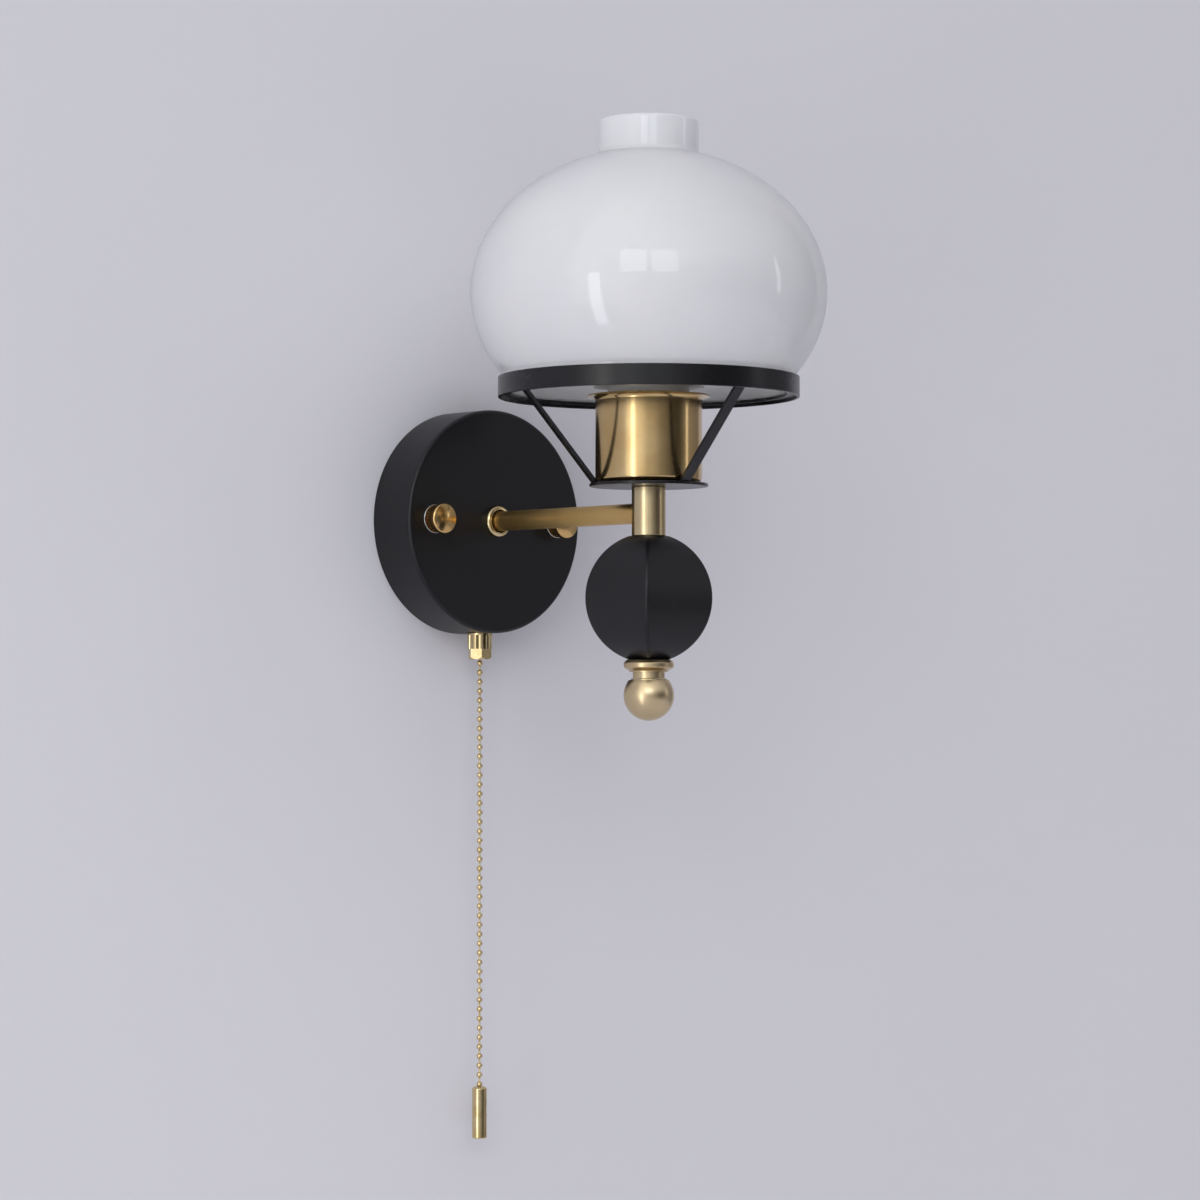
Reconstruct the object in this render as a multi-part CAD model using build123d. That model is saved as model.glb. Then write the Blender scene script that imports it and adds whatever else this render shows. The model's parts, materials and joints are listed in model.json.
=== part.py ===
from build123d import *
import os
from math import asin, cos, degrees, radians, sin, sqrt

# Wall light with an opal glass shade, a brass and black arm and a pull chain.
# Millimetres. X runs along the wall, Y goes into the wall, Z is up. The origin is the centre of
# the canopy's rim, on the wall, at the height of the arm.

# ---- Clearances -------------------------------------------------------------------------------
thread_gap = 0.05        # radial, between two pieces that screw together
turning_gap = 0.08       # radial, between a piece that turns and its pin
body_gap = 0.3           # between pieces that move apart
hole_gap = 0.25          # radial, round a stud or neck in a plain hole
wire_gap = 0.2           # radial, round a wire in its terminal
wall_gap = 0.2           # between the wall and the ends of studs and screws
edge_round = 0.4         # on turned edges
moulded_round = 0.8      # on the edges of small moulded pieces

# ---- Canopy and what fixes it to the wall -----------------------------------------------------
canopy_diameter = 120.0
canopy_depth = 30.0
canopy_wall = 1.2
canopy_edge_round = 2.0

bracket_width = 18.0
bracket_thickness = 2.0
bracket_end = 7.0        # from a stud's centre to the bracket's end
bracket_tab_width = 34.0
wall_slot_spacing = 56.0
wall_slot_length = 12.0
wall_slot_width = 4.6
cable_hole_radius = 5.0
cable_hole_x = -10.0

stud_offset = 43.0       # from the canopy's centre to each stud
stud_radius = 2.0
stud_projection = 7.5    # past the canopy's face
stud_nut_across = 7.0
stud_nut_height = 3.2

earth_screw_x = 10.0
earth_screw_radius = 1.9
earth_head_radius = 3.6
earth_head_height = 2.4

nut_washer_radius = 7.7
nut_washer_thickness = 1.2
cap_nut_radius = 7.3
cap_nut_waist = 6.5
cap_nut_height = 6.2     # up to the underside of the button
cap_dome_radius = 7.85
cap_rim_height = 1.4
cap_dome_rise = 1.6
cap_edge_round = 0.9
cap_knurl_count = 26
cap_knurl_radius = 0.42
cap_foot_height = 0.7
cap_knurl_margin = 0.4   # from the foot and the button to the knurled band

# ---- Arm --------------------------------------------------------------------------------------
arm_reach = 150.0        # wall to the lamp's axis
arm_radius = 5.25
arm_nipple_radius = 4.0
arm_nipple_bore = 3.0
nipple_grip = 14.0       # length of a nipple inside the arm
nipple_tail = 10.0       # length of the rear nipple inside the canopy
collar_radius = 8.4
collar_bore = 6.1
collar_height = 3.6
collar_round = 1.7
arm_nut_across = 13.0
arm_nut_height = 4.0

# ---- Stem under the gallery -------------------------------------------------------------------
stem_radius = 8.7
stem_top = 13.4
stem_bottom = -11.8
stem_chamber_depth = 19.0
lamp_nipple_radius = 5.0
lamp_nipple_bore = 3.6
lamp_nipple_grip = 8.8   # length inside the stem
rod_radius = 3.0
rod_grip = 6.0           # length of the tie rod inside the stem

# ---- Gallery that carries the glass -----------------------------------------------------------
plate_radius = 30.4
plate_thickness = 1.6
ring_radius = 77.2
ring_wall = 1.5
ring_height = 10.5
ring_bottom = 59.0       # above the arm's axis
ledge_width = 5.0
ledge_thickness = 1.5
ledge_rise = 1.5         # from the ring's lower edge to the ledge
bar_width = 6.0
bar_thickness = 2.1      # measured level, radially
bar_inset = 0.5          # from the plate's rim to the bar's foot
bar_head_inset = 2.0     # from the ring's inner face to the middle of the bar's head
bar_foot_bearings = (154.9, 265.9, 32.9)   # degrees from +X about the lamp's axis, plan view
bar_head_bearings = (169.4, 264.9, 36.9)

# ---- Brass cup and lamp holder ----------------------------------------------------------------
cup_radius = 27.35
cup_wall = 0.8
cup_height = 45.1
cup_corner = 3.0
lip_radius = 31.35
lip_round = 2.0
cup_nut_across = 15.0
cup_nut_height = 3.0
holder_radius = 19.5
holder_wall = 2.0
holder_boss_radius = 11.0
holder_floor = 4.0
holder_round = 2.0
holder_base_height = 19.2
insert_thickness = 6.0
insert_drop = 2.0        # from the base's rim down to the insert's top
socket_radius = 13.55    # inside the screw shell
socket_shell_wall = 0.4
socket_shell_height = 24.0
contact_height = 2.0
holder_sleeve_height = 28.0
holder_sleeve_wall = 4.7
sleeve_step = 0.6
shade_ring_radius = 28.6
shade_ring_height = 11.5
shade_ring_flange = 1.5
shade_ring_wall = 2.0

# ---- Bulb -------------------------------------------------------------------------------------
bulb_cap_radius = 13.2
bulb_cap_height = 23.0
bulb_cap_round = 1.5
bulb_insulator_height = 2.6
bulb_contact_radius = 4.4
bulb_contact_height = 1.0
bulb_neck_radius = 13.5
bulb_radius = 30.0
bulb_length = 108.0
bulb_body_height = 36.0
bulb_knee_height = 6.0
bulb_knee_round = 12.0
bulb_wall = 1.5

# ---- Opal glass -------------------------------------------------------------------------------
glass_fitter_gap = 0.5   # radial, between the glass's foot and the gallery's ring
glass_fitter_height = 8.34   # from the foot up to the globe
glass_swell = 16.2       # from the foot's radius out to the widest part
glass_half_height = 74.0
glass_wall = 3.5
glass_neck_radius = 25.65
glass_neck_height = 17.77    # from the globe up to the lip
glass_lip_round = 1.6
glass_foot_round = 0.9
glass_fitter_blend = 3.0
glass_neck_blend = 3.0

# ---- Ball and finial --------------------------------------------------------------------------
ball_radius = 32.5
ball_ridge_round = 1.8
ball_wall = 3.0
finial_top_radius = 11.4
finial_lip_radius = 12.85
finial_lip_rise = 1.7
finial_lip_round = 0.7
finial_lip_height = 4.0  # from the ball's flat end to the lip's lower edge
finial_step_radius = 10.0
finial_step_rise = 1.7
finial_step_height = 0.5
finial_waist_radius = 8.25
finial_waist_height = 3.3
finial_bead_radius = 9.3
finial_bead_height = 0.85
finial_ball_radius = 12.95
finial_ball_drop = 7.9   # from the bead's lower face to the ball's centre

# ---- Pull switch ------------------------------------------------------------------------------
switch_depth = 16.5      # from the wall to the chain
switch_radius = 11.5
switch_wall = 1.3
switch_height = 18.8
switch_floor_gap = 1.5   # between the canopy's wall and the housing's floor, at the chain
switch_cover_thickness = 2.0
neck_radius = 4.9
neck_bore = 2.1
neck_flange_radius = 6.0
switch_washer_radius = 7.0
switch_washer_thickness = 0.8
fluted_nut_radius = 6.6
fluted_nut_height = 7.5
flute_count = 8
flute_radius = 2.2
flute_depth = 0.75
bell_across = 11.6
bell_height = 5.6
bell_corner_radius = 6.6
bell_mouth_radius = 3.4
bell_mouth_depth = 1.2
bell_throat_radius = 2.3
bell_thread_depth = 3.8
drum_radius = 3.5
drum_width = 3.6
rotor_radius = 3.6
rotor_width = 2.5
axle_radius = 1.0
spring_radius = 3.4
spring_width = 2.2
contact_strip_thickness = 0.5

# ---- Chain and pendant ------------------------------------------------------------------------
bead_radius = 1.6
bead_pitch = 5.03
link_radius = 0.45
hanging_beads = 45       # below the first bead outside the bell
hidden_beads = 6         # between that bead and the switch's drum
first_bead_drop = 2.1    # from the bell's mouth to the first bead's centre
pendant_radius = 4.0
pendant_length = 27.6
pendant_shoulder = 1.0
pendant_round = 0.5
pendant_seat_radius = 1.1
pendant_seat_depth = 2.5
bead_sink = 0.4          # how far the last bead stands in the pendant

# ---- Wiring -----------------------------------------------------------------------------------
terminal_pitch = 10.0
terminal_height = 16.0
terminal_depth = 12.0
terminal_bottom = 14.0   # above the arm's axis
terminal_margin = 5.0
insert_wall = 0.9
clamp_screw_radius = 1.5
clamp_screw_gap = 0.1
wire_radius = 1.0
wire_bend = 4.0
wire_rise = 9.0          # straight length of a wire where it leaves the switch
switch_wire_x = 4.6      # from the switch's middle to each of its wires
arm_wire_bend = 3.0      # where the lamp wires turn into the arm and the stem
wire_turn_depth = 14.0   # from the wall to the switched wire, where it turns into the arm
wire_pair_offset = 1.6   # each lamp wire from the arm's axis

# ---- Levels worked out from the sizes above ---------------------------------------------------
canopy_radius = canopy_diameter / 2
canopy_inside = canopy_radius - canopy_wall
canopy_face_inside = canopy_depth - canopy_wall
plate_top = stem_top + plate_thickness
cup_floor_top = plate_top + cup_wall
holder_bottom = cup_floor_top + cup_nut_height
holder_floor_top = holder_bottom + holder_floor
base_top = holder_bottom + holder_base_height
insert_top = base_top - insert_drop
insert_bottom = insert_top - insert_thickness
sleeve_top = base_top + holder_sleeve_height
bulb_bottom = insert_top + contact_height + body_gap
bulb_cap_bottom = bulb_bottom + bulb_contact_height + bulb_insulator_height
bulb_cap_top = bulb_cap_bottom + bulb_cap_height
bulb_top = bulb_bottom + bulb_length
bulb_body_top = bulb_cap_top + bulb_body_height
ledge_bottom = ring_bottom + ledge_rise
ledge_top = ledge_bottom + ledge_thickness
ring_inside = ring_radius - ring_wall
glass_bottom = ledge_top + body_gap
glass_fitter_radius = ring_inside - glass_fitter_gap
glass_radius = glass_fitter_radius + glass_swell
globe_to_fitter = glass_half_height * sqrt(1 - (glass_fitter_radius / glass_radius) ** 2)
globe_to_neck = glass_half_height * sqrt(1 - (glass_neck_radius / glass_radius) ** 2)
glass_centre = glass_bottom + glass_fitter_height + globe_to_fitter   # height of the widest part
glass_neck_top = glass_centre + globe_to_neck + glass_neck_height
ball_corner = ball_radius + ball_ridge_round * (sqrt(2) - 1)   # before the ridges are rounded
ball_flat = stem_radius * 0.87                                 # half diagonal of the ball's ends
ball_half_height = sqrt(ball_radius ** 2 - ball_flat ** 2)
ball_centre = stem_bottom - ball_half_height
ball_bottom = ball_centre - ball_half_height
finial_step_top = ball_bottom - finial_lip_height - finial_step_rise
finial_waist_top = finial_step_top - finial_step_height
finial_waist_bottom = finial_waist_top - finial_waist_height
finial_bead_bottom = finial_waist_bottom - finial_bead_height
finial_ball_centre = finial_bead_bottom - finial_ball_drop
switch_bottom = -canopy_inside + switch_floor_gap
switch_top = switch_bottom + switch_height
washer_top = -canopy_radius
fluted_nut_top = washer_top - switch_washer_thickness
bell_top = fluted_nut_top - fluted_nut_height
bell_bottom = bell_top - bell_height
neck_bottom = bell_top - bell_thread_depth
pivot_height = bell_bottom - first_bead_drop
drum_height = pivot_height + hidden_beads * bead_pitch
drum_offset = drum_radius + bead_radius + 0.5 * body_gap
last_bead = pivot_height - hanging_beads * bead_pitch
pendant_top = last_bead - bead_radius + bead_sink
terminal_y = -bracket_thickness - terminal_depth / 2
terminal_places = [-terminal_pitch, 0.0, terminal_pitch]
switch_end = switch_top + switch_cover_thickness
nipple_mouth = nipple_tail - canopy_depth

at_lamp = Pos(0, -arm_reach, 0)
at_switch = Pos(0, -switch_depth, 0)
off_wall = Rot(90, 0, 0)   # turns a piece drawn along +Z so that it stands out of the wall
stud_places = [Pos(-stud_offset, 0, 0), Pos(stud_offset, 0, 0)]


# ---- Shapes used again and again --------------------------------------------------------------
def turned(points, rounds=None):
    # A piece turned about Z from corners given as (radius, height). rounds maps a corner's
    # number to its radius.
    outline = make_face(Polyline(*points, close=True))
    for number, radius in (rounds or {}).items():
        corner = Vector(*points[number], 0)
        vertex = outline.vertices().sort_by_distance(corner)[0]
        outline = fillet(vertex, radius)
    return revolve(Plane.XZ * outline, Axis.Z)


def ring(outer, inner, low, high):
    # A plain tube, or a disc with a hole, between two heights.
    body = Pos(0, 0, low) * extrude(Circle(outer) - Circle(inner), high - low)
    return body


def rod(radius, low, high):
    return Pos(0, 0, low) * extrude(Circle(radius), high - low)


def hex_nut(across, bore, low, high):
    outline = RegularPolygon(across / 2, 6, major_radius=False) - Circle(bore)
    return Pos(0, 0, low) * extrude(outline, high - low)


def wire(points, bends):
    # An insulated wire along straight runs joined by arcs.
    route = FilletPolyline(*points, radius=bends)
    section = Plane(route @ 0, z_dir=route % 0) * Circle(wire_radius)
    return sweep(section, route)


def bead_string(high, low, centres):
    # Beads on a wire, as one turned solid about Z, from high down to low.
    half = sqrt(bead_radius ** 2 - link_radius ** 2)
    start = (link_radius, high)
    edges = [Line((0, high), start)]
    for centre in centres:
        above = (link_radius, centre + half)
        below = (link_radius, centre - half)
        edges.append(Line(start, above))
        edges.append(ThreePointArc(above, (bead_radius, centre), below))
        start = below
    edges.append(Line(start, (link_radius, low)))
    edges.append(Line((link_radius, low), (0, low)))
    edges.append(Line((0, low), (0, high)))
    return revolve(Plane.XZ * make_face(edges), Axis.Z)


# ---- Canopy and wall fixing -------------------------------------------------------------------
def wall_bracket():
    length = 2 * (stud_offset + bracket_end)
    bar = SlotOverall(length, bracket_width)
    tab_top = terminal_bottom + terminal_height
    tab = Pos(0, tab_top / 2) * Rectangle(bracket_tab_width, tab_top)
    outline = bar + tab
    outline -= Pos(cable_hole_x, 0) * Circle(cable_hole_radius)
    outline -= Pos(earth_screw_x, 0) * Circle(earth_screw_radius + thread_gap)
    for side in (-1, 1):
        outline -= Pos(side * wall_slot_spacing / 2, 0) * SlotOverall(wall_slot_length, wall_slot_width)
        outline -= Pos(side * stud_offset, 0) * Circle(stud_radius + thread_gap)
    return off_wall * extrude(outline, bracket_thickness)


def studs():
    stud = rod(stud_radius, wall_gap, canopy_depth + stud_projection)
    return Compound([off_wall * place * stud for place in stud_places])


def stud_nuts():
    low = bracket_thickness
    nut = hex_nut(stud_nut_across, stud_radius + thread_gap, low, low + stud_nut_height)
    return Compound([off_wall * place * nut for place in stud_places])


def earth_screw():
    low = bracket_thickness
    high = low + earth_head_height
    screw = turned(
        [(0, wall_gap), (earth_screw_radius, wall_gap), (earth_screw_radius, low), (earth_head_radius, low),
         (earth_head_radius, high), (0, high)],
        {4: moulded_round},
    )
    return off_wall * Pos(earth_screw_x, 0, 0) * screw


def canopy():
    inner_round = canopy_edge_round - canopy_wall
    shell = turned(
        [(0, canopy_depth), (canopy_radius, canopy_depth), (canopy_radius, 0), (canopy_inside, 0),
         (canopy_inside, canopy_face_inside), (0, canopy_face_inside)],
        {1: canopy_edge_round, 4: inner_round},
    )
    shell -= rod(arm_nipple_radius + hole_gap, 0, canopy_depth)
    for place in stud_places:
        shell -= place * rod(stud_radius + hole_gap, 0, canopy_depth)
    shell = off_wall * shell
    return shell - at_switch * rod(neck_radius + hole_gap, -canopy_radius, -canopy_radius / 2)


def nut_washers():
    low = canopy_depth
    washer = turned(
        [(stud_radius + hole_gap, low), (nut_washer_radius, low),
         (nut_washer_radius, low + nut_washer_thickness),
         (stud_radius + hole_gap, low + nut_washer_thickness)],
        {2: nut_washer_thickness / 2},
    )
    return Compound([off_wall * place * washer for place in stud_places])


def cap_nut(side):
    # A knurled nut with a wide domed button, bored blind for its stud.
    low = canopy_depth + nut_washer_thickness + body_gap / 2
    rim = low + cap_nut_height
    crown = rim + cap_rim_height
    foot = low + cap_foot_height
    waist_end = rim - cap_foot_height
    knurl_start = foot + cap_knurl_margin
    sphere = (cap_dome_radius ** 2 + cap_dome_rise ** 2) / (2 * cap_dome_rise)
    spread = degrees(asin(cap_dome_radius / sphere))
    profile = make_face([
        Polyline((0, crown + cap_dome_rise), (0, low), (cap_nut_radius, low), (cap_nut_radius, foot),
                 (cap_nut_waist, foot), (cap_nut_waist, waist_end), (cap_dome_radius, rim),
                 (cap_dome_radius, crown)),
        CenterArc((0, crown + cap_dome_rise - sphere), sphere, 90 - spread, spread),
    ])
    edge = profile.vertices().sort_by_distance(Vector(cap_dome_radius, crown, 0))[0]
    body = revolve(Plane.XZ * fillet(edge, cap_edge_round), Axis.Z)
    band = Circle(cap_nut_radius) - PolarLocations(cap_nut_radius, cap_knurl_count) * Circle(cap_knurl_radius)
    body += Pos(0, 0, knurl_start) * extrude(band, waist_end - cap_knurl_margin - knurl_start)
    hole_end = canopy_depth + stud_projection + body_gap
    body -= rod(stud_radius + turning_gap, low, hole_end)
    return off_wall * Pos(side * stud_offset, 0, 0) * body


# ---- Arm --------------------------------------------------------------------------------------
def arm_collar():
    low = canopy_depth
    high = low + collar_height
    collar = turned(
        [(collar_bore, low), (collar_radius, low), (collar_radius, high), (collar_bore, high)],
        {2: collar_round, 3: edge_round},
    )
    return off_wall * collar


def rear_nipple():
    low = canopy_depth - nipple_tail
    return off_wall * ring(arm_nipple_radius, arm_nipple_bore, low, canopy_depth + nipple_grip)


def arm_lock_nut():
    high = canopy_face_inside
    nut = hex_nut(arm_nut_across, arm_nipple_radius + thread_gap, high - arm_nut_height, high)
    return off_wall * nut


def arm_tube():
    # The outer end is coped to the round stem.
    tube = off_wall * ring(arm_radius, arm_nipple_radius + thread_gap, canopy_depth, arm_reach)
    return tube - at_lamp * rod(stem_radius + thread_gap, -2 * arm_radius, 2 * arm_radius)


def front_nipple():
    end = arm_reach - lamp_nipple_radius - body_gap
    return off_wall * ring(arm_nipple_radius, arm_nipple_bore, end - nipple_grip, end)


# ---- Stem, nipple and tie rod -----------------------------------------------------------------
def stem():
    body = turned(
        [(0, stem_bottom), (stem_radius, stem_bottom), (stem_radius, stem_top), (0, stem_top)],
        {1: edge_round, 2: edge_round},
    )
    body -= rod(lamp_nipple_radius + thread_gap, stem_top - stem_chamber_depth, stem_top)
    body -= rod(rod_radius + thread_gap, stem_bottom, stem_top)
    side_hole = off_wall * rod(arm_nipple_radius + thread_gap, -arm_reach / 2, 0)
    return at_lamp * (body - side_hole)


def lamp_nipple():
    return at_lamp * ring(lamp_nipple_radius, lamp_nipple_bore, stem_top - lamp_nipple_grip, holder_floor_top)


def tie_rod():
    end = finial_ball_centre - finial_ball_radius / 2
    return at_lamp * rod(rod_radius, end, stem_bottom + rod_grip)


# ---- Gallery ----------------------------------------------------------------------------------
def gallery_plate():
    bore = lamp_nipple_radius + thread_gap
    plate = turned(
        [(bore, stem_top), (plate_radius, stem_top), (plate_radius, plate_top), (bore, plate_top)],
        {1: edge_round, 2: edge_round},
    )
    return at_lamp * plate


def gallery_ring():
    # A flat band with a ledge turned in near its lower edge, on which the glass stands.
    ledge_inside = ring_inside - ledge_width
    top = ring_bottom + ring_height
    band = turned(
        [(ring_radius, ring_bottom), (ring_radius, top), (ring_inside, top), (ring_inside, ledge_top),
         (ledge_inside, ledge_top), (ledge_inside, ledge_bottom), (ring_inside, ledge_bottom),
         (ring_inside, ring_bottom)],
        {0: edge_round, 1: edge_round},
    )
    return at_lamp * band


def gallery_bar(number):
    # A flat bar that stands on the plate's rim and is welded under the ledge.
    foot_radius = plate_radius - bar_inset - bar_thickness / 2
    head_radius = ring_inside - bar_head_inset
    foot_angle = radians(bar_foot_bearings[number])
    head_angle = radians(bar_head_bearings[number])
    foot = Vector(foot_radius * cos(foot_angle), foot_radius * sin(foot_angle), plate_top)
    head = Vector(head_radius * cos(head_angle), head_radius * sin(head_angle), ledge_bottom)
    section = Rectangle(bar_thickness, bar_width)
    section = Plane(origin=foot, x_dir=(cos(foot_angle), sin(foot_angle), 0), z_dir=(0, 0, 1)) * section
    way = head - foot
    return at_lamp * extrude(section, amount=way.length, dir=way)


# ---- Cup and lamp holder ----------------------------------------------------------------------
def brass_cup():
    bore = lamp_nipple_radius + thread_gap
    inside = cup_radius - cup_wall
    top = plate_top + cup_height
    cup = turned(
        [(bore, plate_top), (cup_radius, plate_top), (cup_radius, top - cup_wall),
         (lip_radius, top - cup_wall), (lip_radius, top), (inside, top), (inside, cup_floor_top),
         (bore, cup_floor_top)],
        {1: cup_corner, 6: cup_corner - cup_wall, 2: lip_round, 5: lip_round + cup_wall},
    )
    return at_lamp * cup


def cup_nut():
    bore = lamp_nipple_radius + thread_gap
    return at_lamp * hex_nut(cup_nut_across, bore, cup_floor_top, holder_bottom)


def holder_base():
    bore = lamp_nipple_radius + thread_gap
    inside = holder_radius - holder_wall
    slope = holder_radius - holder_boss_radius
    base = turned(
        [(bore, holder_bottom), (holder_boss_radius, holder_bottom), (holder_radius, holder_bottom + slope),
         (holder_radius, base_top), (inside, base_top), (inside, insert_bottom),
         (holder_boss_radius, holder_floor_top), (bore, holder_floor_top)],
        {2: holder_round},
    )
    return at_lamp * base


def holder_insert():
    radius = holder_radius - holder_wall - thread_gap
    return at_lamp * rod(radius, insert_bottom, insert_top)


def socket_shell():
    outer = socket_radius + socket_shell_wall
    return at_lamp * ring(outer, socket_radius, insert_top, insert_top + socket_shell_height)


def socket_contact():
    return at_lamp * rod(bulb_contact_radius / 2, insert_top, insert_top + contact_height)


def holder_sleeve():
    inside = holder_radius - sleeve_step - holder_sleeve_wall
    thread = holder_radius - sleeve_step
    step_height = sleeve_top - shade_ring_height - 2 * holder_wall
    sleeve = turned(
        [(inside, base_top), (holder_radius, base_top), (holder_radius, step_height),
         (thread, step_height), (thread, sleeve_top), (inside, sleeve_top)],
        {4: edge_round},
    )
    return at_lamp * sleeve


def shade_ring():
    bore = holder_radius - sleeve_step + thread_gap
    skirt = bore + shade_ring_wall
    top = sleeve_top
    low = top - shade_ring_height
    flange_low = top - shade_ring_flange
    piece = turned(
        [(bore, low), (skirt, low), (skirt, flange_low), (shade_ring_radius, flange_low),
         (shade_ring_radius, top), (bore, top)],
        {4: edge_round, 2: moulded_round},
    )
    return at_lamp * piece


# ---- Bulb -------------------------------------------------------------------------------------
def bulb_contact():
    return at_lamp * rod(bulb_contact_radius, bulb_bottom, bulb_bottom + bulb_contact_height)


def bulb_insulator():
    low = bulb_bottom + bulb_contact_height
    cone = turned([(0, low), (bulb_contact_radius + 1, low), (bulb_cap_radius - 2, bulb_cap_bottom),
                   (0, bulb_cap_bottom)])
    return at_lamp * cone


def bulb_cap():
    inside = bulb_cap_radius - socket_shell_wall
    cap = turned(
        [(0, bulb_cap_bottom), (bulb_cap_radius, bulb_cap_bottom), (bulb_cap_radius, bulb_cap_top),
         (inside, bulb_cap_top), (inside, bulb_cap_bottom + socket_shell_wall),
         (0, bulb_cap_bottom + socket_shell_wall)],
        {1: bulb_cap_round},
    )
    return at_lamp * cap


def diffuser_rim_radius():
    # Radius of the diffuser's ball where it meets the housing.
    below_centre = bulb_top - bulb_radius - bulb_body_top
    return sqrt(bulb_radius ** 2 - below_centre ** 2)


def bulb_body():
    # The white housing between the cap and the diffuser, open at the top.
    rim = diffuser_rim_radius()
    low = bulb_cap_top
    knee = low + bulb_knee_height
    housing = turned(
        [(0, low), (bulb_neck_radius, low), (bulb_neck_radius, knee), (rim, bulb_body_top),
         (rim - bulb_wall, bulb_body_top), (bulb_neck_radius - bulb_wall, knee),
         (bulb_neck_radius - bulb_wall, low + bulb_wall), (0, low + bulb_wall)],
        {2: bulb_knee_round, 5: bulb_knee_round, 1: edge_round},
    )
    return at_lamp * housing


def bulb_diffuser():
    centre = Pos(0, 0, bulb_top - bulb_radius)
    shell = centre * Sphere(bulb_radius) - centre * Sphere(bulb_radius - bulb_wall)
    return at_lamp * (shell & rod(2 * bulb_radius, bulb_body_top, bulb_top + bulb_radius))


# ---- Opal glass -------------------------------------------------------------------------------
def glass_outline(inset):
    # Half section of a squashed globe with a neck above and a fitter below, drawn inset from
    # the outer surface.
    globe = Pos(0, glass_centre) * Ellipse(glass_radius - inset, glass_half_height - inset)
    fitter = Rectangle(glass_fitter_radius - inset, glass_centre - glass_bottom, align=(Align.MIN, Align.MIN))
    neck = Rectangle(glass_neck_radius - inset, glass_neck_top - glass_centre, align=(Align.MIN, Align.MIN))
    frame = Rectangle(glass_radius, glass_neck_top - glass_bottom, align=(Align.MIN, Align.MIN))
    outline = globe + Pos(0, glass_bottom) * fitter + Pos(0, glass_centre) * neck
    return outline & Pos(0, glass_bottom) * frame


def glass_shade():
    section = glass_outline(0) - glass_outline(glass_wall)
    corners = [
        (glass_neck_radius, glass_neck_top, glass_lip_round),
        (glass_neck_radius - glass_wall, glass_neck_top, glass_lip_round),
        (glass_neck_radius, glass_centre + globe_to_neck, glass_neck_blend),
        (glass_fitter_radius, glass_centre - globe_to_fitter, glass_fitter_blend),
        (glass_fitter_radius, glass_bottom, glass_foot_round),
        (glass_fitter_radius - glass_wall, glass_bottom, glass_foot_round),
    ]
    for radius, height, rounding in corners:
        corner = section.vertices().sort_by_distance(Vector(radius, height, 0))[0]
        section = fillet(corner, rounding)
    return at_lamp * revolve(Plane.XZ * section, Axis.Z)


# ---- Ball and finial --------------------------------------------------------------------------
def ridged_block(reach, half_height):
    # Square in level section, with four ridges that follow a round ball, and flat ends.
    half = reach / sqrt(2)
    along_x = extrude(Plane.YZ * Ellipse(half, reach), amount=reach, both=True)
    along_y = extrude(Plane.XZ * Ellipse(half, reach), amount=reach, both=True)
    return along_x & along_y & Box(3 * reach, 3 * reach, 2 * half_height)


def ridged_ball():
    # A hollow casting with softened ridges, open at both ends for the tie rod.
    body = ridged_block(ball_corner, ball_half_height)
    ridges = [edge for edge in body.edges() if edge.bounding_box().size.Z > ball_half_height]
    body = fillet(ridges, ball_ridge_round)
    body -= ridged_block(ball_corner - ball_wall * sqrt(2), ball_half_height - ball_wall)
    body -= Cylinder(rod_radius + hole_gap, 3 * ball_half_height)
    return at_lamp * Pos(0, 0, ball_centre) * body


def finial_collar():
    bore = rod_radius + thread_gap
    collar = turned(
        [(bore, ball_bottom), (finial_top_radius, ball_bottom),
         (finial_lip_radius, ball_bottom - finial_lip_rise),
         (finial_lip_radius, ball_bottom - finial_lip_height),
         (finial_step_radius, finial_step_top), (finial_step_radius, finial_waist_top),
         (finial_waist_radius, finial_waist_top), (finial_waist_radius, finial_waist_bottom),
         (bore, finial_waist_bottom)],
        {1: finial_lip_round, 2: finial_lip_round, 3: finial_lip_round},
    )
    return at_lamp * collar


def finial_ball():
    bead_top = finial_waist_bottom - body_gap / 2
    bead = turned(
        [(0, bead_top), (finial_bead_radius, bead_top), (finial_bead_radius, finial_bead_bottom),
         (0, finial_bead_bottom)],
        {1: edge_round},
    )
    ball = Pos(0, 0, finial_ball_centre) * Sphere(finial_ball_radius)
    ball &= rod(2 * finial_ball_radius, finial_ball_centre - 2 * finial_ball_radius, finial_bead_bottom)
    hole_end = finial_ball_centre - finial_ball_radius / 2 - body_gap
    return at_lamp * (bead + ball - rod(rod_radius + turning_gap, hole_end, bead_top))


# ---- Pull switch ------------------------------------------------------------------------------
def switch_housing():
    inside = switch_radius - switch_wall
    floor_top = switch_bottom + switch_wall
    bore = neck_radius + thread_gap
    shell = turned(
        [(bore, switch_bottom), (switch_radius, switch_bottom), (switch_radius, switch_top),
         (inside, switch_top), (inside, floor_top), (bore, floor_top)],
        {1: moulded_round},
    )
    return at_switch * shell


def switch_cover():
    return at_switch * turned(
        [(0, switch_top), (switch_radius, switch_top), (switch_radius, switch_top + switch_cover_thickness),
         (0, switch_top + switch_cover_thickness)],
        {2: moulded_round},
    )


def switch_neck():
    # Threaded neck with a shoulder that bears on the inside of the canopy's curved wall.
    shoulder = -sqrt(canopy_inside ** 2 - neck_flange_radius ** 2) + thread_gap
    neck = turned(
        [(neck_bore, neck_bottom), (neck_radius, neck_bottom), (neck_radius, shoulder),
         (neck_flange_radius, shoulder), (neck_flange_radius, switch_bottom), (neck_radius, switch_bottom),
         (neck_radius, switch_bottom + switch_wall), (neck_bore, switch_bottom + switch_wall)],
    )
    return at_switch * neck


def switch_washer():
    low = washer_top - switch_washer_thickness
    return at_switch * ring(switch_washer_radius, neck_radius + thread_gap, low, washer_top)


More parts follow.
